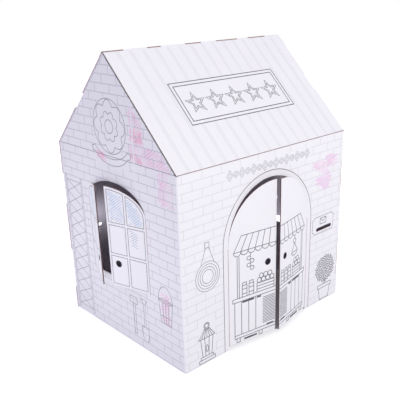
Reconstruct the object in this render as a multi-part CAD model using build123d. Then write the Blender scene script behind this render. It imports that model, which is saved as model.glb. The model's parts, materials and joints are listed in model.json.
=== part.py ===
import os
from math import cos, radians, sin, tan

from build123d import *

# Children's playhouse of corrugated board, in millimetres. Two equal die-cut blanks, one turned
# half a turn, each fold into a long wall, a gable wall and a roof panel, and interlock at the ridge
# and at two corners. Origin in the middle of the floor, X along the ridge, Z up, front wall at -Y.

# House
wall_length = 810.0
wall_depth = 664.0
wall_height = 676.0
roof_pitch = 45.0
board = 4.0
fit_gap = 0.4

# Folds
corner_radius = 7.0
eave_score_depth = 2.4
eave_score_half_width = 1.5

# Finger joints
ridge_finger_widths = (72.0, 106.0, 56.0, 94.0)
corner_finger_heights = (88.0, 162.0, 187.0, 118.0)
finger_proud = 3.0
rake_notch_start = 196.0
rake_notch_length = 79.0

# Doorway and its two leaves
door_radius = 204.0
door_spring = 382.0
door_floor_gap = 14.0
cut_gap = 0.5
door_finger_height = 294.0
door_finger_inset = 36.0

# Window and its two shutters
window_half_width = 165.0
window_sill = 231.0
window_spring = 498.0
window_rise = 90.0
shutter_finger_height = 317.0
shutter_finger_inset = 38.0

# Holes
finger_hole_diameter = 25.0
slot_length = 92.0
slot_height = 14.0
slot_end_inset = 52.0
slot_center_z = 316.0

# How far each leaf stands open, in degrees, left and right as seen from outside
front_door_angles = (9.0, 12.5)
left_shutter_angles = (24.0, 15.5)
back_door_angles = (12.5, 9.0)
right_shutter_angles = (15.5, 24.0)

# Derived sizes
half_length = wall_length / 2
half_depth = wall_depth / 2
pitch = radians(roof_pitch)
slope_length = half_depth / cos(pitch)
ridge_height = wall_height + half_depth * tan(pitch)
roof_end = half_length + finger_proud

# Planes of the outer faces, with u to the right and v up as seen from outside
front_face = Plane(origin=(0, -half_depth, 0), x_dir=(1, 0, 0), z_dir=(0, -1, 0))
gable_face = Plane(origin=(-half_length, 0, 0), x_dir=(0, -1, 0), z_dir=(-1, 0, 0))

# Cross-section through the house, looking along X
section = Plane(origin=(0, 0, 0), x_dir=(0, 1, 0), z_dir=(1, 0, 0))
slope = Vector(cos(pitch), sin(pitch))
slope_normal = Vector(-sin(pitch), cos(pitch))
eave_outer = Vector(-half_depth, wall_height)
eave_inner = Vector(-half_depth + board, wall_height - board * (1 - sin(pitch)) / cos(pitch))


def along_x(points, start, end):
    face = make_face(Polyline(*[(p.X, p.Y) for p in points], close=True))
    return extrude(section.offset(start) * face, amount=end - start)


def block(x_range, y_range, z_range):
    size = [high - low for low, high in (x_range, y_range, z_range)]
    middle = [(low + high) / 2 for low, high in (x_range, y_range, z_range)]
    return Pos(*middle) * Box(*size)


def alternate_spans(limits, first):
    spans = list(zip(limits[:-1], limits[1:]))
    return spans[first::2]


def stations(start, widths, end):
    limits = [start]
    for width in widths:
        limits.append(limits[-1] + width)
    limits.append(end)
    return limits


def roof_point(distance, depth):
    return eave_outer + slope * distance - slope_normal * depth


def roof_tops(reach):
    outer = slope_length - reach / sin(2 * pitch)
    return outer, outer + board / tan(2 * pitch)


def arched_outline(half_width, bottom, spring, rise):
    straight = Pos(0, (bottom + spring) / 2) * Rectangle(2 * half_width, spring - bottom)
    return straight + Pos(0, spring) * Ellipse(half_width, rise)


# Ridge fingers alternate between the two panels, the same read from either end
half_ridge = stations(0, ridge_finger_widths, roof_end)
ridge_limits = [-limit for limit in reversed(half_ridge[1:])] + half_ridge
own_ridge_fingers = alternate_spans(ridge_limits, 1)

# Corner fingers, from the floor up: the long wall has the first, the gable wall the second
corner_limits = stations(0, corner_finger_heights, wall_height)
long_wall_fingers = alternate_spans(corner_limits, 0)
gable_fingers = alternate_spans(corner_limits, 1)


def roof_panel():
    outer_top, inner_top = roof_tops(board + fit_gap)
    outline = [eave_outer, roof_point(outer_top, 0), roof_point(inner_top, board), eave_inner]
    panel = along_x(outline, -half_length, roof_end)
    finger_outer, finger_inner = roof_tops(0)
    finger_root = outer_top - board
    finger_outline = [
        roof_point(finger_root, 0),
        roof_point(finger_outer, 0),
        roof_point(finger_inner, board),
        roof_point(finger_root, board),
    ]
    for start, end in own_ridge_fingers:
        open_end = end if end == roof_end else end - fit_gap / 2
        panel += along_x(finger_outline, start + fit_gap / 2, open_end)
    notch_outline = [
        roof_point(rake_notch_start, -board),
        roof_point(rake_notch_start + rake_notch_length, -board),
        roof_point(rake_notch_start + rake_notch_length, 2 * board),
        roof_point(rake_notch_start, 2 * board),
    ]
    return panel - along_x(notch_outline, half_length - board, roof_end + board)


def long_wall():
    outline = [
        Vector(-half_depth, 0),
        Vector(-half_depth + board, 0),
        eave_inner,
        eave_outer,
    ]
    joint_edge = half_length - board - fit_gap
    wall = along_x(outline, corner_radius - half_length, joint_edge)
    for bottom, top in long_wall_fingers:
        root = joint_edge - board
        low = bottom + (fit_gap / 2 if bottom > 0 else 0)
        if top == wall_height:
            finger_outline = [
                Vector(-half_depth, low),
                Vector(-half_depth + board, low),
                eave_inner,
                eave_outer,
            ]
            wall += along_x(finger_outline, root, roof_end)
        else:
            depth_range = (-half_depth, -half_depth + board)
            wall += block((root, roof_end), depth_range, (low, top - fit_gap / 2))
    return wall


def gable_top(y):
    under_roof = (board + fit_gap) / cos(pitch)
    return wall_height + (half_depth - abs(y)) * tan(pitch) - under_roof


def gable_wall():
    joint_edge = half_depth - board - fit_gap
    fold_edge = -half_depth + corner_radius
    outline = [
        Vector(fold_edge, 0),
        Vector(joint_edge, 0),
        Vector(joint_edge, gable_top(joint_edge)),
        Vector(0, gable_top(0)),
        Vector(fold_edge, gable_top(fold_edge)),
    ]
    wall = along_x(outline, -half_length, board - half_length)
    for bottom, top in gable_fingers:
        height_range = (bottom + fit_gap / 2, top - fit_gap / 2)
        width_range = (-half_length, board - half_length)
        wall += block(width_range, (joint_edge - board, half_depth), height_range)
    return wall


def corner_fold():
    bend = Circle(corner_radius) - Circle(corner_radius - board)
    quarter = Pos(-corner_radius / 2, -corner_radius / 2) * Rectangle(corner_radius, corner_radius)
    fold = Pos(corner_radius - half_length, corner_radius - half_depth) * (bend & quarter)
    return extrude(fold, amount=gable_top(half_depth - board))


def eave_score():
    inward = (eave_inner - eave_outer).normalized()
    groove = [
        eave_outer + inward * eave_score_depth,
        eave_outer - Vector(0, eave_score_half_width),
        eave_outer - inward * board,
        eave_outer + slope * eave_score_half_width,
    ]
    return along_x(groove, -half_length - board, roof_end + board)


def blank():
    doorway = arched_outline(door_radius, -board, door_spring, door_radius)
    window = arched_outline(window_half_width, window_sill, window_spring, window_rise)
    slot_center_x = half_length - slot_end_inset - slot_length / 2
    mail_slot = Pos(slot_center_x, slot_center_z) * SlotOverall(slot_length, slot_height)
    sheet = long_wall() + corner_fold() + gable_wall() + roof_panel()
    sheet -= extrude(front_face * (doorway + mail_slot), amount=2 * board, both=True)
    sheet -= extrude(gable_face * window, amount=2 * board, both=True)
    return sheet - eave_score()


def leaf_pair(face, outline, half_width, finger_inset, finger_height, angles):
    # Each leaf is half of the opening's outline, hinged on the outer face at the opening's side
    leaves = []
    tall = 2 * wall_height
    for side, angle in zip((-1, 1), angles):
        half = outline & (Pos(side * (tall / 2 + cut_gap / 2), 0) * Rectangle(tall, tall))
        finger_u = side * (cut_gap / 2 + finger_inset)
        half -= Pos(finger_u, finger_height) * Circle(finger_hole_diameter / 2)
        leaf = extrude(face * half, amount=-board)
        hinge = Axis(face.from_local_coords((side * half_width, 0, 0)), (0, 0, 1))
        leaves.append(leaf.rotate(hinge, side * angle))
    return leaves


def door_leaves(angles):
    radius = door_radius - cut_gap
    outline = arched_outline(radius, door_floor_gap, door_spring, radius)
    return leaf_pair(
        front_face, outline, door_radius, door_finger_inset, door_finger_height, angles
    )


def shutter_leaves(angles):
    half_width = window_half_width - cut_gap
    bottom = window_sill + cut_gap
    outline = arched_outline(half_width, bottom, window_spring, window_rise - cut_gap)
    return leaf_pair(
        gable_face, outline, window_half_width, shutter_finger_inset, shutter_finger_height, angles
    )


half_turn = Rot(0, 0, 180)
front_sheet = blank()
nodes = {"front_sheet": front_sheet, "back_sheet": half_turn * front_sheet}
own_leaves = {
    "front_door": door_leaves(front_door_angles),
    "left_wall_shutter": shutter_leaves(left_shutter_angles),
}
twin_leaves = {
    "back_door": door_leaves(back_door_angles),
    "right_wall_shutter": shutter_leaves(right_shutter_angles),
}
for name, (left, right) in own_leaves.items():
    nodes[name + "_left"] = left
    nodes[name + "_right"] = right
for name, (left, right) in twin_leaves.items():
    nodes[name + "_left"] = half_turn * left
    nodes[name + "_right"] = half_turn * right

os.makedirs("parts", exist_ok=True)
for name, shape in nodes.items():
    export_step(shape, "parts/" + name + ".step")
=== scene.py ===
import json

import bpy
import numpy as np
from mathutils import Matrix, Vector


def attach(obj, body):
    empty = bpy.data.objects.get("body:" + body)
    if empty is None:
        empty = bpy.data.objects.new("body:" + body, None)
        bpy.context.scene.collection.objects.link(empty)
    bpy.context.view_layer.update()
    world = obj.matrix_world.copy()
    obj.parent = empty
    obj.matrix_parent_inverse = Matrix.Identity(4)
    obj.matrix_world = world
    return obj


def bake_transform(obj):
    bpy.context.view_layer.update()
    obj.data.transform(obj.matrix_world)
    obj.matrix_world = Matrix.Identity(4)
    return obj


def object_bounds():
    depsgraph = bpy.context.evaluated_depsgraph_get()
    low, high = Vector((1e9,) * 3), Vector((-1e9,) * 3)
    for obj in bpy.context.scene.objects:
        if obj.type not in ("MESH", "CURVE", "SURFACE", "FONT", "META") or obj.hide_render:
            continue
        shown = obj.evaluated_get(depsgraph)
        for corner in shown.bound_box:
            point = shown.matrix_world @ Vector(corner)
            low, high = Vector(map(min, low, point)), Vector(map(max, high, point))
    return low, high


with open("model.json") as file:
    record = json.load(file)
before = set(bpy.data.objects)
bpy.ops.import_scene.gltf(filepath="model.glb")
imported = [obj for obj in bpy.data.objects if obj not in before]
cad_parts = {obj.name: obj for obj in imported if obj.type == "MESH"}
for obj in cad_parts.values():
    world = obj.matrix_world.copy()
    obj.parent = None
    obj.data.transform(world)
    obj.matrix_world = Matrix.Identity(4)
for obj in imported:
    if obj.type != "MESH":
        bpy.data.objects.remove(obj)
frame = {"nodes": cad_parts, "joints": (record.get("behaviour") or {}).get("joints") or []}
cadBox = [list(corner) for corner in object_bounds()]
hinges = {joint["child"]: joint for joint in frame["joints"]}
scene = bpy.context.scene
mm = 0.001
root2 = np.sqrt(2.0)  # the roof stands at 45 degrees
print("frame loaded:", len(frame["nodes"]), "nodes")

# The board house, in millimetres: what the blank was cut to, then what the frame gives
house = {
    "board": 4.0,
    "fitGap": 0.4,
    "cutGap": 0.5,
    "proud": 3.0,
    "cornerRadius": 7.0,
    "doorSpring": 382.0,
    "doorBottom": 14.0,
    "sill": 231.0,
    "windowSpring": 498.0,
    "windowRise": 90.0,
    "fingerRadius": 12.5,
    "doorFinger": (36.0, 294.0),
    "shutterFinger": (38.0, 317.0),
    "slot": (307.0, 316.0, 92.0, 14.0),
    "ridgeFingers": (72.0, 106.0, 56.0, 94.0),
    "cornerFingers": (88.0, 162.0, 187.0, 118.0),
    "rakeNotch": (196.0, 275.0),
    "scoreDepth": 2.4,
    "scoreHalf": 1.5,
    "scoreClear": 0.1,
}
doorRadius, halfDepth, _ = np.abs(hinges["front_door_right"]["pos_m"]) / mm
halfLength, windowHalf, _ = np.abs(hinges["left_wall_shutter_left"]["pos_m"]) / mm
ridge = cadBox[1][2] / mm
eave = ridge - halfDepth
slope = halfDepth * root2
roofEnd = halfLength + house["proud"]


# Faces of the board: a point (u, v) of a face lies at origin + u * across + v * up + lift * out
def face(*parts):  # origin, across, up and out as arrays
    return [np.asarray(part, float) for part in parts]


def halfTurn(someFace):  # the twin blank stands turned half a turn about the upright axis
    return [part * np.array([-1.0, -1.0, 1.0]) for part in someFace]


def onFace(someFace, points, lift):  # the places of flat points, each lifted off the face
    origin, across, up, out = someFace
    flat = np.asarray(points, float)
    return origin + flat[:, :1] * across + flat[:, 1:2] * up + np.reshape(lift, (-1, 1)) * out


frontWall = face((0, -halfDepth, 0), (1, 0, 0), (0, 0, 1), (0, -1, 0))
leftWall = face((-halfLength, 0, 0), (0, -1, 0), (0, 0, 1), (-1, 0, 0))
slopeUp = np.array([0, 1, 1]) / root2
slopeOut = np.array([0, -1, 1]) / root2
frontRoof = face((0, -halfDepth, eave), (1, 0, 0), slopeUp, slopeOut)
walls = {"front": frontWall, "left": leftWall, "frontRoof": frontRoof}
walls.update(back=halfTurn(frontWall), right=halfTurn(leftWall), backRoof=halfTurn(frontRoof))
leafStems = {"front": "front_door_", "back": "back_door_",
             "left": "left_wall_shutter_", "right": "right_wall_shutter_"}
leafWalls = {stem + side: wall for wall, stem in leafStems.items() for side in ("left", "right")}


def leafSide(leaf):  # -1 for a leaf hinged on the left, +1 on the right
    return -1.0 if leaf.endswith("left") else 1.0


def leafHalf(leaf):  # half the width of the leaf's opening
    return doorRadius if "door" in leaf else windowHalf


def leafFace(leaf):  # the wall's face turned about the leaf's crease by the angle it stands open
    origin, across, up, out = walls[leafWalls[leaf]]
    side = leafSide(leaf)
    angle = np.radians(-hinges[leaf]["range_deg"][0])
    turned = across * np.cos(angle) - side * out * np.sin(angle)
    turnedOut = out * np.cos(angle) + side * across * np.sin(angle)
    crease = origin + side * leafHalf(leaf) * across
    return [crease - side * leafHalf(leaf) * turned, turned, up, turnedOut]


# Materials
def hexColour(code):  # sRGB hex to linear red, green, blue, alpha
    srgb = np.array([int(code[i:i + 2], 16) for i in (1, 3, 5)]) / 255.0
    linear = np.where(srgb <= 0.04045, srgb / 12.92, ((srgb + 0.055) / 1.055) ** 2.4)
    return (*linear.tolist(), 1.0)


def setSockets(tree, node, sockets):  # an output is linked, a node stands for its first output in use
    for name, source in sockets.items():
        if isinstance(source, bpy.types.Node):
            source = next(output for output in source.outputs if output.enabled)
        if isinstance(source, bpy.types.NodeSocket):
            tree.links.new(source, node.inputs[name])
        else:
            node.inputs[name].default_value = source


def addNode(tree, kind, sockets, **settings):  # a node with its settings, its sockets linked or set
    node = tree.nodes.new("ShaderNode" + kind)
    for name, value in settings.items():
        setattr(node, name, value)
    setSockets(tree, node, sockets)
    return node


def startMaterial(name):  # a material, its nodes, its shader and its texture coordinates
    material = bpy.data.materials.new(name)
    material.use_nodes = True
    tree = material.node_tree
    return material, tree, tree.nodes["Principled BSDF"], addNode(tree, "TexCoord", {}).outputs


def grit(sizeMm, detail):  # noise with grains of a real size
    return {"Scale": 1 / (sizeMm * mm), "Detail": detail}


def twoTone(tree, shader, noise, finish, colour, other):  # one colour gives way to another as a noise rises
    share = addNode(tree, "MapRange", {"Value": noise, **finish["span"]})
    tones = {"Factor": share, "A": hexColour(colour), "B": hexColour(other)}
    paint = addNode(tree, "Mix", tones, data_type="RGBA")
    setSockets(tree, shader, {"Base Color": paint, **finish["surface"]})


# inner: the uncoated inside liner's own greyer tone, made darker and mauve partly as painted shade for the
# dim inside
liner = {"colour": "#F3F2F6", "shade": "#EBEAF0", "inner": "#E5DDE6", "middle": (0.0, 0.0, 0.4),
         "cloud": grit(160.0, 3.0), "cloudShare": 0.6, "fibre": grit(1.4, 4.0), "fibreShare": 0.4,
         "fluteMm": 7.5, "gableMm": 10.0, "washboard": {"Strength": 0.25, "Distance": 0.00008},
         "grain": {"Strength": 0.3, "Distance": 0.00006},
         "surface": {"Roughness": 0.62, "Specular IOR Level": 0.35}}


# Clay-coated white liner on corrugated board: matt, the flutes just show; inside it is uncoated and a little
# greyer, and its extra mauve darkness is painted shade for the dim inside
def whiteLiner():
    material, tree, shader, coordinates = startMaterial("whiteLinerBoard")
    place = coordinates["Object"]
    cloud = addNode(tree, "TexNoise", {"Vector": place, **liner["cloud"]})
    fibre = addNode(tree, "TexNoise", {"Vector": place, **liner["fibre"]})
    clouded = addNode(tree, "Math", {0: cloud, 1: liner["cloudShare"]}, operation="MULTIPLY")
    uneven = addNode(tree, "Math", {0: fibre, 1: liner["fibreShare"], 2: clouded}, operation="MULTIPLY_ADD")
    tones = {"Factor": uneven, "A": hexColour(liner["colour"]), "B": hexColour(liner["shade"])}
    coated = addNode(tree, "Mix", tones, data_type="RGBA")
    outward = addNode(tree, "VectorMath", {0: place, 1: liner["middle"]}, operation="SUBTRACT")
    facing = addNode(tree, "VectorMath", {0: outward, 1: coordinates["Normal"]}, operation="DOT_PRODUCT")
    within = addNode(tree, "Math", {0: facing, 1: 0.0}, operation="LESS_THAN")
    # faces turned inward take the inner colour: partly the uncoated liner, partly painted shade
    tones = {"Factor": within, "A": coated, "B": hexColour(liner["inner"])}
    bothLiners = addNode(tree, "Mix", tones, data_type="RGBA")
    axes = addNode(tree, "SeparateXYZ", {0: place}).outputs
    side = addNode(tree, "Math", {0: axes["X"]}, operation="ABSOLUTE")
    end = (halfLength - liner["gableMm"]) * mm
    inward = addNode(tree, "Math", {0: side, 1: end}, operation="LESS_THAN")
    above = addNode(tree, "Math", {0: axes["Z"], 1: eave * mm}, operation="GREATER_THAN")
    onRoof = addNode(tree, "Math", {0: inward, 1: above}, operation="MULTIPLY")
    level = 2 * np.pi / (liner["fluteMm"] * mm)
    pitch = addNode(tree, "MapRange", {"Value": onRoof, "To Min": level, "To Max": level * root2})
    phase = addNode(tree, "Math", {0: axes["Z"], 1: pitch}, operation="MULTIPLY")
    flutes = addNode(tree, "Math", {0: phase}, operation="SINE")
    washboard = addNode(tree, "Bump", {"Height": flutes, **liner["washboard"]})
    grain = addNode(tree, "Bump", {"Height": fibre, "Normal": washboard, **liner["grain"]})
    setSockets(tree, shader, {"Base Color": bothLiners, "Normal": grain, **liner["surface"]})
    return material


kraft = {"fibre": grit(1.2, 5.0), "fuzz": {"Strength": 0.4, "Distance": 0.0002},
         "span": {"From Min": 0.35, "From Max": 0.65},
         "surface": {"Roughness": 0.85, "Specular IOR Level": 0.2}}


def kraftPaper(name, colour, dark):  # uncoated brown paper: matt, flecked with short fibres
    material, tree, shader, coordinates = startMaterial(name)
    fibre = addNode(tree, "TexNoise", {"Vector": coordinates["Object"], **kraft["fibre"]})
    twoTone(tree, shader, fibre, kraft, colour, dark)
    setSockets(tree, shader, {"Normal": addNode(tree, "Bump", {"Height": fibre, **kraft["fuzz"]})})
    return material


press = {"detail": 3.0, "span": {"From Min": 0.35, "From Max": 0.7},
         "surface": {"Roughness": 0.7, "Specular IOR Level": 0.3}}


# Flexo print: thin ink on coated paper, a little uneven; its mottle is drawn coarse enough to show
def pressInk(name, colour, thin, mottleMm):
    material, tree, shader, coordinates = startMaterial(name)
    mottle = addNode(tree, "TexNoise", {"Vector": coordinates["Object"], **grit(mottleMm, press["detail"])})
    twoTone(tree, shader, mottle, press, colour, thin)
    return material


wax = {"grain": {**grit(2.4, 5.0), "Roughness": 0.7}, "span": {"From Min": 0.18, "From Max": 0.42},
       "weight": grit(45.0, 1.0), "surface": {"Roughness": 0.5, "Specular IOR Level": 0.35}}


# Wax rubbed on paper: it skips over the grain, which is drawn coarse enough to show, and leaves white specks
def waxCrayon(name, colour, skips):
    material, tree, shader, coordinates = startMaterial(name)
    place = coordinates["Object"]
    grain = addNode(tree, "TexNoise", {"Vector": place, **wax["grain"]})
    weight = addNode(tree, "TexNoise", {"Vector": place, **wax["weight"]})
    both = addNode(tree, "Math", {0: weight, 1: grain, 2: skips}, operation="MULTIPLY_ADD")
    twoTone(tree, shader, both, wax, colour, liner["colour"])
    return material


linedBoard = whiteLiner()
levelPaper = kraftPaper("kraftLinerPaper", "#A08078", "#84665F")
flutePaper = kraftPaper("kraftFlutePaper", "#8A5F5B", "#724C4A")
# the hollows between the flutes: dark brown as painted shade; also used for the painted shade line under the
# roof's edge
hollowShadePaper = kraftPaper("kraftFluteHollowShade", "#54372F", "#40292A")
scorePaper = kraftPaper("kraftScorePaper", "#B49FA1", "#9F8A8C")
pressedPaper = kraftPaper("kraftPressedEdge", "#CDBEBE", "#BBAAAB")
# finger holes' cut edges: near black, painted shade inside the hole
holeShadePaper = kraftPaper("kraftHoleEdgeShade", "#2E242A", "#241C22")
lineInk = pressInk("blackPressInk", "#4B4953", "#6A6872", 9.0)
brickInk = pressInk("paleGreyPressInk", "#C9C8D1", "#D3D2DA", 12.0)
eaveInk = pressInk("middleGreyPressInk", "#A39FAB", "#B4B1BB", 12.0)
seamInk = pressInk("faintGreyPressInk", "#DAD9E0", "#E0DFE6", 12.0)
tintInks = [
    pressInk("greyTintPressInk0", "#F0EFF4", "#F2F1F5", 30.0),
    pressInk("greyTintPressInk1", "#EDECF2", "#EFEEF3", 30.0),
    pressInk("greyTintPressInk2", "#EAE9EF", "#EDECF1", 30.0),
]
softInk = pressInk("greyPressInk", "#8B8B92", "#9F9FA6", 9.0)
paleInk = pressInk("lightGreyPressInk", "#B4B3BC", "#C2C1CA", 9.0)
creaseInk = pressInk("scoreLineInk", "#A08688", "#B8A2A4", 7.0)
pinkWax = waxCrayon("pinkWaxCrayon", "#EF8DB4", 0.0)
paleWax = waxCrayon("palePinkWaxCrayon", "#F0DAEC", 0.0)
lilacWax = waxCrayon("lilacWaxCrayon", "#EACAE8", -0.05)
rosyWax = waxCrayon("rosyWaxCrayon", "#EBA9CC", 0.0)
blueWax = waxCrayon("blueWaxCrayon", "#9FADC8", -0.05)
mistWax = waxCrayon("paleBlueWaxCrayon", "#E2E9F4", -0.05)
for node in frame["nodes"].values():
    node.data.materials.clear()
    node.data.materials.append(linedBoard)
print("materials made")


# Meshes
def stack(parts):  # joins (points, faces) pairs into one pair
    starts = np.cumsum([0] + [len(points) for points, _ in parts[:-1]])
    points = np.concatenate([part[0] for part in parts])
    faces = np.concatenate([part[1] + start for part, start in zip(parts, starts)])
    return points, faces


def addPiece(name, body, points, faces, materials, tones=None):  # tones: which of the materials each face has
    mesh = bpy.data.meshes.new(name)
    mesh.from_pydata((points * mm).tolist(), [], faces.tolist())
    for material in materials if isinstance(materials, list) else [materials]:
        mesh.materials.append(material)
    if tones is not None:
        mesh.polygons.foreach_set("material_index", tones.astype(np.int32))
    mesh.update()
    piece = bpy.data.objects.new(name, mesh)
    scene.collection.objects.link(piece)
    if body:
        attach(piece, body)
    return piece


# Lines on a face
printing = {"line": 2.2, "mitre": 0.35, "lift": 0.13, "layer": 0.005, "depth": 0.15}


def polar(angle, across=1.0, up=1.0):  # points at an angle from the origin, so far across and up
    return np.stack([across * np.cos(angle), up * np.sin(angle)], 1)


def arc(cu, cv, ru, rv, start, end, count=48):  # ellipse from start to end, in degrees
    return polar(np.radians(np.linspace(start, end, count)), ru, rv) + (cu, cv)


def ring(cu, cv, radius, count=48):  # a whole circle
    return arc(cu, cv, radius, radius, 0, 360, count)


def line(*points):  # straight runs from point to point
    return np.array(points, float)


def rect(u0, v0, u1, v1):  # an upright rectangle from corner to corner
    return line((u0, v0), (u1, v0), (u1, v1), (u0, v1), (u0, v0))


def movedTo(shapes, u, v):  # drawings about their own origin, put in their place
    return [points + (u, v) for points in shapes]


def sideSteps(points):  # unit steps square to a line at each of its points, longer where the line turns
    run = np.diff(points, axis=0)
    left = np.stack([-run[:, 1], run[:, 0]], 1)
    left /= np.linalg.norm(left, axis=1, keepdims=True)
    closed = np.allclose(points[0], points[-1])
    first, last = (left[-1:], left[:1]) if closed else (left[:1], left[-1:])
    before = np.concatenate([first, left])
    after = np.concatenate([left, last])
    turn = 1.0 + np.sum(before * after, axis=1, keepdims=True)
    return (before + after) / np.maximum(turn, printing["mitre"])


def stripQuads(count):  # faces between two rows of as many points, the second row after the first
    index = np.arange(count - 1)
    return np.stack([index, index + 1, index + 1 + count, index + count], 1)


def ribbon(points, width):  # a band of even width: each point steps half the width to either side
    step = sideSteps(points) * width / 2
    return np.concatenate([points - step, points + step]), stripQuads(len(points))


def drawn(lines, width=printing["line"]):  # every line as a ribbon
    return [ribbon(points, width) for points in lines]


# Each shape lies a hair over the one before
def printOn(name, body, someFace, shapes, material, lift=printing["lift"]):
    points, faces = stack(shapes)
    step = min(printing["layer"], printing["depth"] / len(shapes))
    layer = np.repeat(np.arange(len(shapes)), [len(shape[0]) for shape in shapes]) * step
    return addPiece(name, body, onFace(someFace, points, lift + layer), faces, material)


def printWalls(pair, *layers):  # a layer is (ending, shapes, ink, lift), the same on a wall and its twin
    for wall in pair:
        for ending, *layer in layers:
            printOn(wall + ending, "house", walls[wall], *layer)


def bands(lines, along, keep, width, upright):  # the kept stretches of straight lines, as flat bars
    change = np.diff(np.pad(keep.astype(int), ((0, 0), (1, 1))), axis=1)
    row, start = np.nonzero(change == 1)
    end = np.nonzero(change == -1)[1] - 1
    low, high = along[start], along[end]
    under, over = lines[row] - width / 2, lines[row] + width / 2
    corners = [(low, under), (high, under), (high, over), (low, over)]
    points = np.stack([np.stack(corner, 1) for corner in corners], 1)
    if upright:
        points = points[:, ::-1, ::-1]
    return points.reshape(-1, 2), np.arange(points.shape[0] * 4).reshape(-1, 4)


bricks = {"course": 29.25, "length": 82.0, "line": 2.6, "top": 676.0, "frontShift": -389.0, "leftShift": 20.0,
          "step": 1.0, "jointSteps": 30, "clear": 0.1, "lift": 0.09, "eaveLift": 0.11}


def brickwork(keepPoint, uReach, vTop, shift):  # running bond: the joints move half a brick at every course
    course, length, top = bricks["course"], bricks["length"], bricks["top"]
    beds = np.concatenate([np.arange(top, 0, -course), np.arange(top + course, vTop, course)])
    along = np.arange(-uReach, uReach + bricks["step"] / 2, bricks["step"])
    parts = [bands(beds, along, keepPoint(along[None, :], beds[:, None]), bricks["line"], False)]
    gap = bricks["line"] / 2 + bricks["clear"]  # joints stop just short of the bed lines
    for bed in beds:
        odd = np.round((bed - top) / course) % 2
        first = shift + odd * length / 2
        first -= np.ceil((first + uReach) / length) * length
        joints = np.arange(first, uReach, length)
        rise = np.linspace(bed - course + gap, bed - gap, bricks["jointSteps"])
        parts.append(bands(joints, rise, keepPoint(joints[:, None], rise[None, :]), bricks["line"], True))
    return [stack([part for part in parts if len(part[1])])]


frontArt = {
    "bandRadius": 226.0,
    "frieze": (205.0, 630.0, 18.0),
    "letterPlate": (302.0, 333.5, 63.0, 33.5),
    "coil": (-296.0, 318.0, 52.0),
    "lantern": (-308.0, 6.0, 40.0, 160.0),
    "pot": (326.0, 6.0, 62.0),
    "crown": (100.0, 100.0),
}
leftArt = {
    "rosette": (0.0, 775.0, 92.0),
    "ribbon": (0.0, 668.0, 96.0, 22.0),
    "trellis": (-308.0, -215.0, 12.0, 556.0),
    "bucket": (244.0, 150.0, 36.0, 120.0),
    "tools": (92.0, 112.0),
    "crease": 125.0,
    # width of the painted shade line under the roof's edge
    "rakeShade": 1.2,
}
bare = {"foot": 3.0, "edge": 2.0, "eave": 4.0, "top": 1.0, "gableEdge": 5.0, "rake": 8.0, "round": 3.0,
        "arch": 1.0, "rail": 8.0, "eaveEnd": 6.0, "rakeTop": 4.0}


def offBox(u, v, cu, cv, hu, hv):  # true outside a box about (cu, cv)
    return (np.abs(u - cu) >= hu) | (np.abs(v - cv) >= hv)


def offRound(u, v, cu, cv, radius):  # true outside a circle and a little way round it
    return np.hypot(u - cu, v - cv) > radius + bare["round"]


def keepFront(u, v):  # where the long wall has bricks: clear of its edges, the arch and the drawings
    u, v = np.broadcast_arrays(u, v)
    keep = (v > bare["foot"]) & (v < eave - bare["eave"])
    keep &= np.abs(u) < halfLength - bare["edge"]
    keep &= np.hypot(u, np.maximum(v - house["doorSpring"], 0)) > frontArt["bandRadius"] + bare["edge"]
    half, middle, tall = frontArt["frieze"]
    keep &= offBox(u, v, 0, middle, half + 2 * bare["round"], tall + bare["round"])
    keep &= offBox(u, v, *frontArt["letterPlate"]) & offRound(u, v, *frontArt["coil"])
    cu, _, half, tall = frontArt["lantern"]
    keep &= offBox(u, v, cu, 0, half, tall)
    cu, _, half = frontArt["pot"]
    middle, tall = frontArt["crown"]
    return keep & (((u - cu) / half) ** 2 + ((v - middle) / tall) ** 2 > 1)


def keepLeft(u, v):  # where the gable has bricks: clear of its edges, the window and the drawings
    u, v = np.broadcast_arrays(u, v)
    keep = (v > bare["foot"]) & (np.abs(u) < halfDepth - bare["gableEdge"])
    keep &= v < ridge - np.abs(u) - bare["rake"]
    over = np.maximum(v - house["windowSpring"], 0) / (house["windowRise"] + bare["arch"])
    arch = (u / (windowHalf + bare["arch"])) ** 2 + over ** 2
    keep &= (arch > 1) | (v < house["sill"] - bare["arch"])
    left, right, _, top = leftArt["trellis"]
    keep &= offBox(u, v, (left + right) / 2, 0, (right - left) / 2 + bare["rail"], top)
    cu, foot, half, tall = leftArt["bucket"]
    keep &= offBox(u, v, cu, foot + tall / 2, half, tall / 2)
    return keep & offRound(u, v, *leftArt["rosette"]) & offBox(u, v, *leftArt["ribbon"])


frontBricks = brickwork(keepFront, halfLength, eave - bare["top"], bricks["frontShift"])
leftBricks = brickwork(keepLeft, halfDepth, ridge, bricks["leftShift"])
printWalls(("front", "back"), ("BrickPrint", frontBricks, seamInk, bricks["lift"]))
printWalls(("left", "right"), ("BrickPrint", leftBricks, brickInk, bricks["lift"]))
print("bricks printed")


# Roof: standing seams up the slope, and a framed board with a row of stars
roof = {"seam": 50.7, "pairs": 7, "pair": 10.0, "seamLine": 1.6, "seamLift": 0.07, "foot": 3.0, "top": 6.0,
        "tints": (20.0, 14.0, 8.0), "tintLifts": (0.03, 0.04, 0.05), "signHalf": 243.0, "signLow": 153.0,
        "signHigh": 316.0, "signInset": 13.0, "signLine": 3.0, "signClear": 4.0,
        "stars": 5, "starRadius": 42.0, "starStep": 88.0, "starDrop": 3.0, "starLine": 2.1, "starWaist": 0.42,
        "starShares": (1.0, 0.66)}


def star(cu, cv, radius):  # five points, the inner ones at two fifths of the radius
    corner = np.arange(11)
    reach = np.where(corner % 2, radius * roof["starWaist"], radius)
    return polar(np.radians(90 + corner * 36.0), reach, reach) + (cu, cv)


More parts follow.
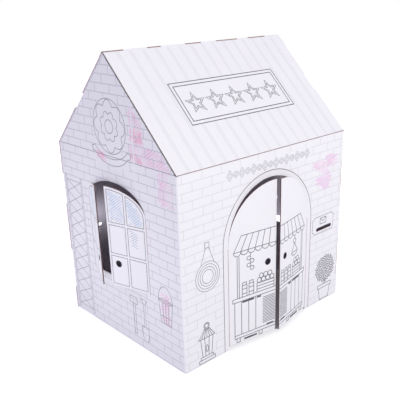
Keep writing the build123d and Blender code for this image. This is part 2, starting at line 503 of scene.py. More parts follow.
def seamBands(lines, width):  # bars up the slope, broken where the board hangs
    upSlope = np.arange(roof["foot"], slope - roof["top"], 1.0)
    beside = np.abs(lines[:, None]) > roof["signHalf"] + roof["signClear"]
    free = beside | (upSlope < roof["signLow"]) | (upSlope > roof["signHigh"])
    return bands(lines, upSlope, free, width, True)


seamAt = np.arange(-roof["pairs"], roof["pairs"] + 1) * roof["seam"]
seams = np.sort(np.concatenate([seamAt - roof["pair"] / 2, seamAt + roof["pair"] / 2]))
signFrames = []
for inset in (0.0, roof["signInset"]):
    half = roof["signHalf"] - inset
    signFrames.append(rect(-half, roof["signLow"] + inset, half, roof["signHigh"] - inset))
starLevel = (roof["signLow"] + roof["signHigh"]) / 2 - roof["starDrop"]
starPlaces = (np.arange(roof["stars"]) - (roof["stars"] - 1) / 2) * roof["starStep"]
stars = [star(cu, starLevel, roof["starRadius"] * share) for cu in starPlaces for share in roof["starShares"]]
printWalls(
    ("frontRoof", "backRoof"),
    *[("SeamTint" + str(tint), [seamBands(seamAt, width)], tintInks[tint], roof["tintLifts"][tint])
      for tint, width in enumerate(roof["tints"])],
    ("SeamPrint", [seamBands(seams, roof["seamLine"])], seamInk, roof["seamLift"]),
    ("SignPrint", drawn(signFrames, roof["signLine"]) + drawn(stars, roof["starLine"]), lineInk),
)
print("roof printed")


# Long wall: arch band, frieze, letter plate, rope coil, lantern, flower pot
def archBand():  # a half circle over two uprights
    radius = frontArt["bandRadius"]
    top = arc(0, house["doorSpring"], radius, radius, 0, 180, 72)
    return [np.concatenate([line((radius, 2)), top, line((-radius, 2))])]


def frieze():  # lozenges and rounds by turns, each drawn twice, the second time half as large
    half, middle, tall = frontArt["frieze"]
    lozenge = line((-14, 0), (0, -tall), (14, 0), (0, tall), (-14, 0))
    shapes = []
    for index, cu in enumerate(np.linspace(-half + 14, half - 14, 15)):
        motif = ring(0, 0, 10, 24) if index % 2 else lozenge
        shapes += movedTo([motif, motif * 0.5], cu, middle)
    return shapes


def letterPlate():  # a plate with hollowed corners, and an envelope over the slot
    cu, cv, hu, hv = frontArt["letterPlate"]
    corners = [arc(su * hu, sv * hv, 9, 9, start, start - 90, 10)
               for su, sv, start in ((1, -1, 180), (1, 1, 270), (-1, 1, 360), (-1, -1, 90))]
    plate = np.concatenate(corners + [corners[0][:1]])
    envelope = [rect(-18, 2, 18, 25), line((-18, 25), (0, 11), (18, 25))]
    return movedTo([plate], cu, cv), movedTo(envelope, cu, cv)


def ropeCoil():  # a hank of four rings on a peg
    cu, cv, radius = frontArt["coil"]
    rings = [ring(0, 0, radius * share) for share in (1.0, 0.82, 0.64, 0.46)]
    peg = line((-9, 118), (-9, 100), (9, 100), (9, 118), (-9, 118))
    sides = [line((side * 7, 100), (side * radius * 0.55, radius * 0.84)) for side in (-1, 1)]
    return movedTo(rings + [peg] + sides, cu, cv)


def lantern():  # glass between four bars, under a ribbed cap with a carrying ring
    cu, foot, _, _ = frontArt["lantern"]
    base = [rect(-36, 0, 36, 12), rect(-28, 12, 28, 22)]
    glass = line((-20, 22), (-28, 92), (28, 92), (20, 22))
    cap = line((-36, 92), (-12, 124), (12, 124), (36, 92), (-36, 92))
    ribs = [line((36 * share, 93), (12 * share, 123)) for share in (-0.66, -0.33, 0, 0.33, 0.66)]
    bars = [line((side * 7, 22), (side * 10, 92)) for side in (-1, 1)]
    flame = arc(0, 50, 5, 13, 0, 360, 20)
    handle = [ring(0, 136, 12, 28), ring(0, 136, 8, 24)]
    return movedTo(base + [glass, cap] + ribs + bars + [flame] + handle, cu, foot)


def flowerPot():  # a tapered pot with a rim, and the bush's trunk
    cu, foot, _ = frontArt["pot"]
    pot = line((-26, 0), (-36, 50), (36, 50), (26, 0), (-26, 0))
    trunk = [line((side * 4, 64), (side * 3, 86)) for side in (-1, 1)]
    return movedTo([pot, rect(-42, 50, 42, 64)] + trunk, cu, foot)


bush = {"count": 150, "length": 9.0, "width": 3.4, "seed": 5, "lean": 0.7, "middle": 132.0, "tall": 58.0,
        "share": 0.94}


def leafMarks():  # a round crown of marks spread by the golden angle, each leaning off its ray
    cu, foot, half = frontArt["pot"]
    draw = np.random.default_rng(bush["seed"])
    index = np.arange(bush["count"])
    reach = np.sqrt((index + 0.5) / bush["count"])
    turn = index * np.pi * (3 - np.sqrt(5.0))
    crown = polar(turn, bush["share"] * half * reach, bush["tall"] * reach)
    middle = crown + (cu, foot + bush["middle"])
    step = polar(turn + draw.normal(0, bush["lean"], bush["count"])) * bush["length"] / 2
    return drawn(np.stack([middle - step, middle + step], 1), bush["width"])


plate, envelope = letterPlate()
printWalls(
    ("front", "back"),
    ("LinePrint", drawn(archBand() + envelope + lantern() + flowerPot()), lineInk),
    ("SoftPrint", drawn(ropeCoil() + plate), softInk),
    ("FriezePrint", drawn(frieze()), paleInk),
    ("LeafPrint", leafMarks(), lineInk),
)


# Gable wall: rosette over a blank ribbon, trellis, bucket, hammer and spade
def rosette():  # two rings of petals, their radius rising and falling eight times a turn, between two circles
    cu, cv, radius = leftArt["rosette"]
    turn = np.radians(np.arange(0, 361, 2.0))
    petals = radius * (0.74 + 0.2 * np.abs(np.cos(4 * turn)))
    inner = radius * (0.42 + 0.12 * np.abs(np.sin(4 * turn)))
    shapes = [polar(turn, reach, reach) for reach in (petals, inner)]
    return movedTo(shapes + [ring(0, 0, radius * share, 64) for share in (0.98, 0.24)], cu, cv)


def blankRibbon():  # two arcs, one under the other, with a tail at either end
    cu, cv, half, tall = leftArt["ribbon"]
    upper = arc(0, 62, half * 1.05, 62, 205, 335, 40)
    lower = upper - (0, tall)
    ends = [line(upper[end], upper[end] + (side * 20, -6), lower[end] + (side * 12, 0), lower[end])
            for end, side in ((0, -1), (-1, 1))]
    return movedTo([upper, lower] + ends, cu, cv)


def trellis():  # two rails, and laths that cross between them in two zigzags
    left, right, foot, top = leftArt["trellis"]
    level = np.linspace(foot + 16, top - 16, 12)
    odd = np.arange(12) % 2
    rails = [rect(left - bare["rail"], foot, left, top), rect(right, foot, right + bare["rail"], top)]
    laths = [np.stack([np.where(odd, *ends), level], 1) for ends in ((right, left), (left, right))]
    return rails + laths + [line((left, level[k]), (right, level[k])) for k in (0, -1)]


def bucket():  # tapered sides, a rim, a bail, a hoop and three staves
    cu, foot, half, tall = leftArt["bucket"]
    brim = tall * 0.7
    side = line((10 - half, 0), (-half, brim), (half, brim), (half - 10, 0), (10 - half, 0))
    rim = arc(0, brim, half, 7, 0, 360, 40)
    bail = arc(0, brim, half, tall * 0.45, 0, 180, 40)
    hoop = line((6 - half, 26), (half - 6, 26))
    staves = [line((share * (half - 10), 0), (share * half, brim - 7)) for share in (-0.45, 0.0, 0.45)]
    return movedTo([side, rim, bail, hoop] + staves, cu, foot)


def handTools():  # a hammer on the left, a spade on the right
    hammer = [rect(-50, 50, -8, 76), rect(-33, -70, -21, 50)]
    grip = line((16, 84), (48, 84), (36, 66), (28, 66), (16, 84))
    blade = np.concatenate([line((14, -24)), arc(32, -52, 18, 30, 180, 360, 24), line((50, -24), (14, -24))])
    return movedTo(hammer + [rect(28, -24, 36, 66), grip, blade], *leftArt["tools"])


eaveReach = halfDepth - bare["eaveEnd"]
eaveLine = line((-eaveReach, bricks["top"]), (eaveReach, bricks["top"]))
# The gable's top line is painted shade: a dark strip on the gable just under the roof's edge
rakeTop = ridge - (house["board"] + house["fitGap"] + leftArt["rakeShade"]) * root2
rakeShade = line(*[(u, rakeTop - u) for u in (bare["rakeTop"], eaveReach)])  # painted shade: a dark line just under the roof's edge, where the gable meets the roof
printWalls(
    ("left", "right"),
    ("LinePrint", drawn(rosette() + blankRibbon() + bucket() + handTools()), softInk),
    ("TrellisPrint", drawn(trellis()), eaveInk),
    ("EavePrint", drawn([eaveLine], bricks["line"]), eaveInk, bricks["eaveLift"]),
    ("RawTopEdge", drawn([rakeShade], leftArt["rakeShade"]), hollowShadePaper),
)
print("walls printed")


# Leaves: a market stall over the two doors, glazing bars on the shutters
stall = {"edge": 2.0, "top": 418.0, "topReach": 150.0, "fringe": 362.0, "reach": 182.0, "stripes": 6,
         "post": (160.0, 168.0), "counter": (176.0, 190.0), "half": 188.0, "skirt": 34.0, "slatReach": 58.0,
         "planks": (89.0, 120.0, 151.0), "slatStep": 6.0, "line": 2.35, "bold": 7.0, "hook": 346.0}


def stallFrame():  # the right-hand half of a market stall; the left door has its mirror image
    top, topReach, fringe, reach = stall["top"], stall["topReach"], stall["fringe"], stall["reach"]
    edge, count = stall["edge"], stall["stripes"]
    pitch = (reach - edge) / count
    awning = [line((1, top), (topReach, top), (reach, fringe), (1, fringe))]
    awning += [line((topReach * k / count, top), (edge + pitch * k, fringe)) for k in range(1, count)]
    awning += [arc(edge + pitch * (k + 0.5), fringe, pitch / 2, pitch / 2, 180, 360, 16)
               for k in range(count)]
    under, over = stall["counter"]
    foot, half = stall["skirt"], stall["half"]
    post = [line((u, over), (u, fringe - 17)) for u in stall["post"]]
    counter = [line((1, under), (half, under), (half, over), (1, over))]
    end, hem = half - 8, foot + 12
    skirt = [line((1, foot), (end, foot), (end, under)), line((1, hem), (end, hem))]
    skirt += [line((u, hem), (u, under)) for u in stall["planks"]]
    legs = [rect(half - 30, 18, half - 16, foot), rect(60, 18, 74, foot)]
    levels = np.arange(foot + 26, under - 12, stall["slatStep"])
    return awning + post + counter + skirt + legs + [line((3, v), (stall["slatReach"], v)) for v in levels]


def evenPlaces(u0, u1, space):  # the middles of as many equal places as fit
    count = int((u1 - u0) // space)
    return u0 + (u1 - u0) * (np.arange(count) + 0.5) / count


def fruitCrate(u0, u1):  # a slatted crate with round fruit heaped in two rows
    row = evenPlaces(u0, u1, 19)
    slats = [rect(u0, 0, u1, 34), line((u0, 11), (u1, 11)), line((u0, 23), (u1, 23))]
    heap = [ring(u, 44, 9, 24) for u in row] + [ring(u, 60, 9, 24) for u in (row[1:] + row[:-1]) / 2]
    return movedTo(slats + heap, 0, stall["counter"][1])


def jarRow(u0, u1):  # jars side by side, each with a lid and a blank label
    jar = [rect(-10, 0, 10, 44), rect(-8, 44, 8, 54), line((-10, 12), (10, 12)), line((-10, 30), (10, 30))]
    return [shape for cu in evenPlaces(u0, u1, 25) for shape in movedTo(jar, cu, stall["counter"][1])]


def hangingScale(cu):  # a dial and a pan on two strings, under the awning
    pan = [arc(0, -62, 22, 13, 180, 360, 20), line((22, -62), (-22, -62), (0, -28), (22, -62))]
    return movedTo([line((0, 0), (0, -10)), ring(0, -19, 9, 24)] + pan, cu, stall["hook"])


def onionString(cu):  # onions on a cord, under the awning
    bulbs = [arc(7 * (-1) ** k, -16 - 13 * k, 8, 7, 0, 360, 24) for k in range(4)]
    return movedTo([line((0, 0), (0, -9))] + bulbs, cu, stall["hook"])


def stallBold():  # the shade under the counter and on the ground
    under = stall["counter"][0] - 5
    shades = ((66, 84, under), (96, 148, under), (84, 140, 24), (10, 40, 48))
    return [line((u0, v), (u1, v)) for u0, u1, v in shades]


stallGoods = {-1.0: fruitCrate(8, 84) + jarRow(94, 152) + onionString(112),
              1.0: jarRow(8, 84) + fruitCrate(94, 152) + hangingScale(108)}
panes = {"edge": 9.0, "bar": 5.0, "rows": (349.0, 460.0), "line": 1.7}


def paneLines():  # two columns and three rows of panes, the top ones under the arch
    edge, bar = panes["edge"], panes["bar"]
    half, rise = windowHalf - edge, house["windowRise"] - edge
    middle = (half + edge) / 2
    low, high = panes["rows"]
    shapes = []
    for u0, u1 in ((edge, middle - bar), (middle + bar, half)):
        shapes += [rect(u0, house["sill"] + edge, u1, low - bar), rect(u0, low + bar, u1, high - bar)]
        u = np.linspace(u1, u0, 30)
        curve = np.stack([u, house["windowSpring"] + rise * np.sqrt(np.maximum(1 - (u / half) ** 2, 0))], 1)
        foot = line((u0, high + bar), (u1, high + bar))
        shapes.append(np.concatenate([foot, curve, foot[:1]]))
    return shapes


def mirrored(shapes, side):  # the left-hand leaf has the right-hand leaf's lines back to front
    return [points * np.array([side, 1.0]) for points in shapes]


def turnedOver(shape, side):  # the same for a shape with faces, which then run the other way round
    points, quads = shape
    return points * np.array([side, 1.0]), quads if side > 0 else quads[:, ::-1]


for leaf in leafWalls:
    side = leafSide(leaf)
    if "door" in leaf:
        shapes = drawn(mirrored(stallFrame() + stallGoods[side], side), stall["line"])
        shapes += drawn(mirrored(stallBold(), side), stall["bold"])
    else:
        shapes = drawn(mirrored(paneLines(), side), panes["line"])
    printOn(leaf + "Print", leaf, leafFace(leaf), shapes, lineInk)
print("leaves printed")


# Crayon: hatched by hand, strokes side by side, cut to the shape that they fill
crayon = {"ragged": 22.0, "raggedShare": 0.3, "lean": 5.0, "edge": 12.0, "seed": 11,
          "lift": 0.005, "overLift": 0.04, "strongLift": 0.065, "layer": 0.006, "paneEdge": 4.0,
          "mist": (48, 7.0, 6.4), "paneLines": (40, 7.4, 1.6)}  # angle, space, width
hand = np.random.default_rng(crayon["seed"])


def hatch(inside, reach, angle, space, width):  # lines a space apart, turned about the middle
    u0, v0, u1, v1 = reach
    half = np.hypot(u1 - u0, v1 - v0) / 2
    offset = np.arange(-half, half, space)
    run = np.arange(-half, half, 1.0)
    cosine, sine = np.cos(np.radians(angle)), np.sin(np.radians(angle))
    middle = np.array([(u0 + u1) / 2, (v0 + v1) / 2])
    u = middle[0] + run * cosine - offset[:, None] * sine
    v = middle[1] + run * sine + offset[:, None] * cosine
    keep = inside(u, v)
    count = np.cumsum(keep, axis=1)
    length = count[:, -1:]
    most = np.minimum(crayon["ragged"], crayon["raggedShare"] * length)
    trim = hand.uniform(0, 1, (2, len(offset), 1)) * most
    keep &= (count > trim[0]) & (length - count > trim[1])
    flat, quads = bands(offset, run, keep, width, False)
    return flat @ np.array([(cosine, sine), (-sine, cosine)]) + middle, quads


def blob(cu, cv, hu, hv):  # a patch with round corners, a superellipse, and the box that it lies in
    return lambda u, v: ((u - cu) / hu) ** 4 + ((v - cv) / hv) ** 4 < 1, (cu - hu, cv - hv, cu + hu, cv + hv)


def gableBlob(*patch):  # the same, cut off short of the roof and of the corner
    inside, reach = blob(*patch)
    top, end = ridge - crayon["edge"], halfDepth - crayon["edge"]
    return lambda u, v: inside(u, v) & (v < top - np.abs(u)) & (u < end), reach


def rubbed(patches, angle, space, width):  # every patch hatched, each at an angle of its own
    return [hatch(*patch, angle + hand.normal(0, crayon["lean"]), space, width) for patch in patches]


def crayonOn(name, body, someFace, shapes, material, lift):  # each patch lies a little over the one before
    lifted = [(onFace(someFace, points, lift + index * crayon["layer"]), quads)
              for index, (points, quads) in enumerate(shapes)]
    return addPiece(name, body, *stack(lifted), material)


frontPink = [(270, 570, 46, 18), (338, 577, 42, 24), (304, 540, 34, 18), (294, 508, 54, 16),
             (306, 482, 34, 13)]
frontRosy = [(306, 574, 76, 20)]
gablePink = [(144, 786, 42, 70), (206, 706, 116, 38), (276, 618, 44, 56), (-60, 670, 34, 20),
             (244, 206, 34, 62)]
gableRosy = [(152, 786, 32, 54), (234, 706, 88, 34), (280, 606, 32, 46), (243, 204, 30, 56)]
gableStrong = [(146, 768, 31, 26), (138, 694, 32, 16), (-64, 674, 20, 13)]
for name, patches, angle, space, width, material, lift in (
    ("frontPinkCrayon", frontPink, 8, 6.0, 4.4, lilacWax, crayon["lift"]),
    ("frontRosyCrayon", frontRosy, 12, 13.0, 1.7, rosyWax, crayon["overLift"]),
    ("leftPinkCrayon", gablePink, 32, 7.0, 6.4, paleWax, crayon["lift"]),
    ("leftRosyCrayon", gableRosy, 30, 9.5, 1.9, rosyWax, crayon["overLift"]),
    ("leftStrongCrayon", gableStrong, 44, 5.4, 3.4, pinkWax, crayon["strongLift"]),
):
    someFace, patch = (frontWall, blob) if name.startswith("front") else (leftWall, gableBlob)
    strokes = rubbed([patch(*place) for place in patches], angle, space, width)
    crayonOn(name, "house", someFace, strokes, material, lift)


def paneInside(u0, v0, u1, v1):  # a pane of the right-hand shutter, cut off by the arch
    inset = panes["edge"] + crayon["paneEdge"]
    half, rise = windowHalf - inset, house["windowRise"] - inset

    def inside(u, v):
        arch = (u / half) ** 2 + (np.maximum(v - house["windowSpring"], 0) / rise) ** 2 < 1
        return arch & (u > u0) & (u < u1) & (v > v0) & (v < v1)
    return inside, (u0, v0, u1, v1)


bluePanes = [paneInside(12, 468, 77, 586), paneInside(89, 468, 153, 586)]
halfPane = [paneInside(90, 388, 132, 452)]
for leaf, panesDrawn in (("left_wall_shutter_left", []), ("left_wall_shutter_right", bluePanes + halfPane)):
    side = leafSide(leaf)
    mist = [turnedOver(shape, side) for shape in rubbed(bluePanes, *crayon["mist"])]
    crayonOn(leaf + "PaleCrayon", leaf, leafFace(leaf), mist, mistWax, crayon["lift"])
    if panesDrawn:
        lines = [turnedOver(shape, side) for shape in rubbed(panesDrawn, *crayon["paneLines"])]
        crayonOn(leaf + "BlueCrayon", leaf, leafFace(leaf), lines, blueWax, crayon["overLift"])
print("crayon drawn")


# Cut edges: a dark strip through the board's thickness, painted shade for the hollows between the flutes, and
# on it the fluting as a wavy band. An open cut or an inlet shows the flutes, a pressed one is crushed shut by
# the die, and a hole's edge is painted near black, as painted shade inside the hole. Round an inlet or a hole
# the strip stands clear of the flats that its curve is made of
edges = {"level": 4.0, "step": 0.9, "flute": 7.5, "swing": 0.34, "paper": 0.5, "skin": 0.12, "arcSteps": 160,
         "hollowOut": 0.03, "paperOut": 0.09, "fluted": ("open", "inlet"),
         "papers": [hollowShadePaper, flutePaper, levelPaper, pressedPaper, holeShadePaper],
         "inks": {"open": 0, "inlet": 0, "level": 2, "pressed": 3, "hole": 4},
         "sag": {"open": 0.0, "inlet": 0.28, "pressed": 0.0, "hole": 0.08}}


def evenSteps(points, step):  # the same line with points at most one step apart, its own corners kept
    run = np.linalg.norm(np.diff(points, axis=0), axis=1)
    reach = np.concatenate([[0.0], np.cumsum(run)])
    at = np.unique(np.concatenate([reach, np.arange(step, reach[-1], step)]))
    return np.stack([np.interp(at, reach, points[:, axis]) for axis in (0, 1)], 1)


def edgeBand(someFace, points, outward, near, far, out):  # a band between two depths, just off the cut
    moved = points + sideSteps(points) * outward * out  # outward +1 is to the line's left
    depth = np.concatenate([near, far])
    quads = stripQuads(len(points))
    return onFace(someFace, np.concatenate([moved, moved]), -depth), quads if outward > 0 else quads[:, ::-1]


def cutEdges(name, body, someFaces):  # the flutes run level, so a level stretch of an open cut shows none
    hollows, papers, tones = [], [], []
    for someFace, cuts in someFaces:
        for path, outward, kind in cuts:
            sag, fluted = edges["sag"][kind], kind in edges["fluted"]
            skin = np.full(len(path), edges["skin"])
            out = edges["hollowOut"] + sag
            hollows.append(edgeBand(someFace, path, outward, skin, house["board"] - skin, out))
            run = np.abs(np.diff(path, axis=0))
            flatRun = (run[:, 0] > edges["level"] * run[:, 1]) & fluted
            tones.append(np.where(flatRun, edges["inks"]["level"], edges["inks"][kind]))
            if fluted:
                fine = evenSteps(path, edges["step"])
                wave = edges["swing"] * np.sin(2 * np.pi * fine[:, 1] / edges["flute"])
                near = house["board"] * (0.5 + wave) - edges["paper"] / 2
                out = edges["paperOut"] + sag
                papers.append(edgeBand(someFace, fine, outward, near, near + edges["paper"], out))
    points, faces = stack(hollows + papers)
    tones = np.concatenate(tones)
    tones = np.concatenate([tones, np.ones(len(faces) - len(tones), int)])
    return addPiece(name, body, points, faces, edges["papers"], tones)


def fingerEnds(widths, end):  # 0, the running sums of the widths, and the end
    return np.concatenate([[0], np.cumsum(widths), [end]])


def spans(ends, first):  # every second stretch from end to end
    return list(zip(ends[:-1], ends[1:]))[first::2]


# Each cut is (points, outward, kind)
def longWallCuts():  # doorway arch, mail slot, corner fingers, foot
    cuts = [(arc(0, house["doorSpring"], doorRadius, doorRadius, 0, 180, edges["arcSteps"]), 1, "inlet")]
    cu, cv, long, tall = house["slot"]
    reach, end = (long - tall) / 2, tall / 2
    rounds = [arc(cu + side * reach, cv, end, end, -90 * side, 180 - 90 * side, 12) for side in (1, -1)]
    cuts.append((np.concatenate(rounds + [rounds[0][:1]]), 1, "inlet"))
    joint, tip = halfLength - house["board"] - house["fitGap"], roofEnd
    for low, high in spans(fingerEnds(house["cornerFingers"], eave), 0):
        cuts.append((line((joint, low), (tip, low), (tip, high), (joint, high)), -1, "pressed"))
    cuts.append((line((-halfLength + house["cornerRadius"], 0), (-doorRadius, 0)), -1, "open"))
    return cuts + [(line((doorRadius, 0), (joint, 0)), -1, "open")]


def gableCuts():  # window arch and sill, corner fingers, foot
    half, sill = windowHalf, house["sill"]
    arch = arc(0, house["windowSpring"], half, house["windowRise"], 0, 180, edges["arcSteps"])
    cuts = [(arch, 1, "inlet"), (line((-half, sill), (half, sill)), 1, "open")]
    tip = -halfDepth
    joint = tip + house["board"] + house["fitGap"]
    for low, high in spans(fingerEnds(house["cornerFingers"], eave), 1):
        cuts.append((line((joint, high), (tip, high), (tip, low), (joint, low)), -1, "pressed"))
    return cuts + [(line((joint, 0), (halfDepth - house["cornerRadius"], 0)), -1, "open")]


def roofCuts():  # near rake, notched far rake, ridge fingers, the same from either end
    top, gapTop = slope, slope - house["board"] - house["fitGap"]
    end, start = roofEnd, -halfLength
    low, high = house["rakeNotch"]
    deep = halfLength - house["board"]
    notched = line((end, 0), (end, low), (deep, low), (deep, high), (end, high), (end, top))
    cuts = [(line((start, gapTop), (start, 0)), -1, "open"), (notched, -1, "pressed")]
    half = fingerEnds(house["ridgeFingers"], end)
    for left, right in spans(np.concatenate([-half[:0:-1], half]), 1):
        cuts.append((line((right, gapTop), (right, top), (left, top), (left, gapTop)), -1, "open"))
    return cuts


def leafCuts(leaf):  # foot, free edge and arched top in one line, then the finger hole
    side, gap = leafSide(leaf), house["cutGap"]
    half = leafHalf(leaf) - gap
    if "door" in leaf:
        rise, spring, bottom = half, house["doorSpring"], house["doorBottom"]
        inset, height = house["doorFinger"]
    else:
        rise, spring, bottom = house["windowRise"] - gap, house["windowSpring"], house["sill"] + gap
        inset, height = house["shutterFinger"]
    free = gap / 2
    top = arc(0, spring, half, rise, np.degrees(np.arccos(free / half)), 0, edges["arcSteps"])
    outline = np.concatenate([line((half, bottom), (free, bottom)), top])
    hole = ring(free + inset, height, house["fingerRadius"], 40)
    outline, hole = mirrored([outline, hole], side)
    return [(outline, side, "open"), (hole, side, "hole")]


sheetCuts = {"front": longWallCuts(), "left": gableCuts(), "frontRoof": roofCuts()}
cutEdges("frontSheetCutEdges", "house", [(walls[wall], cuts) for wall, cuts in sheetCuts.items()])
cutEdges("backSheetCutEdges", "house", [(halfTurn(walls[wall]), cuts) for wall, cuts in sheetCuts.items()])
for leaf in leafWalls:
    cutEdges(leaf + "CutEdges", leaf, [(leafFace(leaf), leafCuts(leaf))])
print("cut edges laid")


# Eave score: the outer liner is cut through along the fold, which opens into a brown groove
def eaveScore(name, turn):  # two flats from the groove's lips down to its bottom, from end to end of the eave
    lip = np.array([-halfDepth, eave])
    inward = np.array([1.0, 1.0 - root2])
    apex = lip + inward / np.linalg.norm(inward) * (house["scoreDepth"] - house["scoreClear"])
    lower = lip - np.array([0.0, house["scoreHalf"]])
    upper = lip + house["scoreHalf"] / root2
    ends = (-halfLength, roofEnd)
    points = np.array([(x, y, z) for x in ends for y, z in (lower, apex, apex, upper)])
    quads = np.array([(0, 1, 5, 4), (2, 3, 7, 6)])
    return addPiece(name, "house", points * np.array([turn, turn, 1]), quads, scorePaper)


eaveScore("frontEaveScore", 1)
eaveScore("backEaveScore", -1)

# Creases: a scored line over each leaf's hinge, and the fold that the gable was packed flat on
crease = {"turn": 1.5, "lift": 0.12, "line": 1.1}


def hingeCrease(leaf):  # a strip across the hinge: half of it on the wall, half on the leaf
    side, half = leafSide(leaf), leafHalf(leaf)
    door = "door" in leaf
    bottom = house["doorBottom"] if door else house["sill"]
    top = house["doorSpring"] if door else house["windowSpring"]
    wall, turned = walls[leafWalls[leaf]], leafFace(leaf)
    across = np.array([crease["line"], crease["turn"] / 2, 0.0])
    rows = []
    for v in (bottom, top):
        onWall = [(side * (half + step), v) for step in across]
        onLeaf = [(side * (half - step), v) for step in across[-2::-1]]
        rows += [onFace(wall, onWall, crease["lift"]), onFace(turned, onLeaf, crease["lift"])]
    quads = stripQuads(2 * len(across) - 1)
    quads = quads if side < 0 else quads[:, ::-1]
    strip = addPiece(leaf + "Crease", None, np.concatenate(rows), quads, creaseInk)
    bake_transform(strip)


for leaf in leafWalls:
    hingeCrease(leaf)
packFold = {"width": 7.0, "height": 0.7, "steps": 9, "lift": 0.02, "foot": 2.0, "clear": 8.0}


def packedFold(name, someFace):  # a low ridge, half a sine across, from floor to roof, clear of the window
    across = np.linspace(-0.5, 0.5, packFold["steps"])
    bulge = packFold["height"] * np.cos(np.pi * across)
    at = leftArt["crease"]
    archTop = house["windowSpring"] + house["windowRise"] * np.sqrt(1 - (at / windowHalf) ** 2)
    foot, clear = packFold["foot"], packFold["clear"]
    parts = []
    for ends in ((foot, house["sill"] - foot), (archTop + clear, ridge - at - clear)):
        rows = [np.stack([at + across * packFold["width"], np.full(len(across), v)], 1) for v in ends]
        lift = np.concatenate([bulge, bulge]) + packFold["lift"]
        parts.append((onFace(someFace, np.concatenate(rows), lift), stripQuads(packFold["steps"])))
    points, faces = stack(parts)
    fold = addPiece(name, "house", points, faces, linedBoard)
    fold.data.polygons.foreach_set("use_smooth", np.ones(len(faces), bool))


packedFold("leftPackFold", leftWall)
packedFold("rightPackFold", walls["right"])
print("creases scored")

# Stage and light
stage = {"floor": "#C4C4CA", "roughness": 0.9, "white": (1.0, 1.0, 1.0, 1.0), "reachMm": 9000.0,
         "liftMm": -0.5, "skyReach": 2.0, "skyShut": 0.3, "skyScale": 0.1,
         "rise": {"From Min": 0.02, "From Max": 0.4, "To Min": 0.6, "To Max": 1.0},
         "inside": {"From Min": -0.004, "From Max": 0.0, "To Min": 0.08}, "swing": 0.16,
         "gap": {"Location": (0.0446, -0.3298, 0.0), "Rotation": (0.0, 0.0, np.radians(40.9))},
         "gapHalf": (0.0365, 0.0105, 0.0)}


def seenRays(tree):  # 1 on what the camera sees, straight or by a mirror or glass
    path = addNode(tree, "LightPath", {}).outputs
    first = addNode(tree, "Math", {0: path["Is Camera Ray"], 1: path["Is Glossy Ray"]}, operation="MAXIMUM")
    return addNode(tree, "Math", {0: first, 1: path["Is Transmission Ray"]}, operation="MAXIMUM")


def pastBox(tree, place, half):  # how far a point lies past each side of a box, below nought within it
    apart = addNode(tree, "VectorMath", {0: place}, operation="ABSOLUTE")
    past = addNode(tree, "VectorMath", {0: apart, 1: half}, operation="SUBTRACT")
    return addNode(tree, "SeparateXYZ", {0: past}).outputs


# Matt pale floor: it keeps the shadow by the walls and turns white further out. Its glow leaves out the
# inside, and the foot of the doors' gap where the leaves and the roof shut out the sky
def paleFloor():
    material, tree, shader, coordinates = startMaterial("paleStudioFloor")
    place = coordinates["Object"]
    sides = pastBox(tree, place, (halfLength * mm, halfDepth * mm, 0.0))
    away = addNode(tree, "Math", {0: sides["X"], 1: sides["Y"]}, operation="MAXIMUM")
    rise = addNode(tree, "MapRange", {"Value": away, **stage["rise"]}, interpolation_type="SMOOTHSTEP")
    along = pastBox(tree, place, (0.0, 0.0, 0.0))["X"]
    swept = addNode(tree, "Math", {0: along, 1: stage["swing"], 2: sides["Y"]}, operation="MULTIPLY_ADD")
    walled = addNode(tree, "Math", {0: sides["X"], 1: swept}, operation="MAXIMUM")
    foot = addNode(tree, "Mapping", {"Vector": place, **stage["gap"]}, vector_type="TEXTURE")
    footSides = pastBox(tree, foot, stage["gapHalf"])
    footAway = addNode(tree, "Math", {0: footSides["X"], 1: footSides["Y"]}, operation="MAXIMUM")
    sky = addNode(tree, "AmbientOcclusion", {"Distance": stage["skyReach"]}).outputs["AO"]
    scale = {0: sky, 1: stage["skyScale"], 2: -stage["skyShut"] * stage["skyScale"]}
    skyOpen = addNode(tree, "Math", scale, operation="MULTIPLY_ADD")
    shut = addNode(tree, "Math", {0: footAway, 1: skyOpen}, operation="MAXIMUM")
    clear = addNode(tree, "Math", {0: walled, 1: shut}, operation="MINIMUM")
    outside = addNode(tree, "MapRange", {"Value": clear, **stage["inside"]})
    glow = addNode(tree, "Math", {0: rise, 1: outside}, operation="MULTIPLY")
    seen = addNode(tree, "Math", {0: seenRays(tree), 1: glow}, operation="MULTIPLY")
    setSockets(tree, shader, {"Base Color": hexColour(stage["floor"]), "Roughness": stage["roughness"],
                              "Emission Color": stage["white"], "Emission Strength": seen})
    return material


reach = stage["reachMm"]
ground = face((0, 0, 0), (1, 0, 0), (0, 1, 0), (0, 0, 1))
corners = onFace(ground, rect(-reach, -reach, reach, reach)[:4], stage["liftMm"])
floor = addPiece("studioFloor", None, corners, np.array([(0, 1, 2, 3)]), paleFloor())

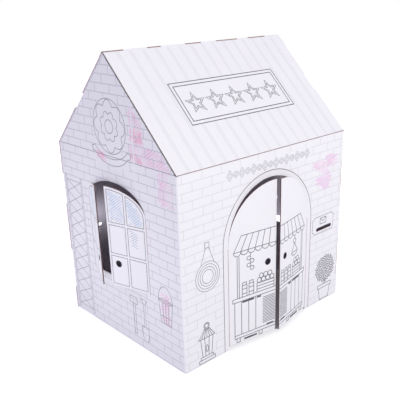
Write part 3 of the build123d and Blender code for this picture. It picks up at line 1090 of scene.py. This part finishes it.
lamps = {"dome": {"To Min": 1.35, "To Max": 0.4}, "sky": (0.9, 0.88, 1.0, 1.0), "warm": (1.0, 1.0, 0.8),
         "plain": (1.0, 1.0, 1.0), "cool": (0.9, 0.9, 1.0)}
world = bpy.data.worlds.new("studioWorld")
world.use_nodes = True
scene.world = world
worldTree = world.node_tree
seen = seenRays(worldTree)
direction = addNode(worldTree, "TexCoord", {}).outputs["Generated"]
upward = addNode(worldTree, "SeparateXYZ", {0: direction}).outputs["Z"]
dome = addNode(worldTree, "MapRange", {"Value": upward, **lamps["dome"]})
level = addNode(worldTree, "MapRange", {"Value": seen, "To Min": dome, "To Max": 1.0})
tones = {"Factor": seen, "A": lamps["sky"], "B": stage["white"]}
tone = addNode(worldTree, "Mix", tones, data_type="RGBA")
setSockets(worldTree, worldTree.nodes["Background"], {"Color": tone, "Strength": level})


def softbox(name, place, target, wide, tall, power, colour, spread=180.0):  # spread: its beam, in degrees
    light = bpy.data.lights.new(name, "AREA")
    light.shape = "ELLIPSE"
    light.size = wide
    light.size_y = tall
    light.energy = power
    light.color = colour
    light.spread = np.radians(spread)
    lamp = bpy.data.objects.new(name, light)
    aim = Vector(target) - Vector(place)
    lamp.rotation_euler = aim.to_track_quat("-Z", "Y").to_euler()
    lamp.location = place
    lamp.visible_camera = False
    scene.collection.objects.link(lamp)


softbox("keySoftbox", (-0.3, -3.9, 2.3), (0, 0, 0.5), 1.4, 2.0, 57.5, lamps["warm"])
softbox("fillSoftbox", (-1.53, 0.0, 0.32), (-0.4, 0.0, 0.3), 1.0, 0.3, 0.54, lamps["plain"], 70.0)
softbox("backSoftbox", (2.6, 2.6, 2.6), (0, 0, 0.5), 2.0, 2.0, 66.0, lamps["plain"])
softbox("innerBounce", (-0.275, 0.218, 0.366), (-0.275, 0.328, 0.366), 0.05, 0.05, 0.023,
        lamps["cool"], 110.0)

# Camera, as fitted to the picture's walls and roof edges
cameraFit = {"azimuth": -42.7314, "elevation": 20.9225, "roll": -1.3919, "place": (-1.4747, -1.6505, 1.1783),
             "lens": 54.9288, "sensor": 36.0, "shiftX": -0.0387, "shiftY": 0.0565}
cameraData = bpy.data.cameras.new("camera")
cameraData.sensor_width = cameraFit["sensor"]
cameraData.lens = cameraFit["lens"]
cameraData.shift_x = cameraFit["shiftX"]
cameraData.shift_y = cameraFit["shiftY"]
camera = bpy.data.objects.new("camera", cameraData)
aim = Matrix.Translation(cameraFit["place"])
for axis, angle in zip("ZXZ", (cameraFit["azimuth"], 90 - cameraFit["elevation"], cameraFit["roll"])):
    aim = aim @ Matrix.Rotation(np.radians(angle), 4, axis)
camera.matrix_world = aim
scene.collection.objects.link(camera)
scene.camera = camera
scene.view_settings.view_transform = "Standard"
print("stage set")
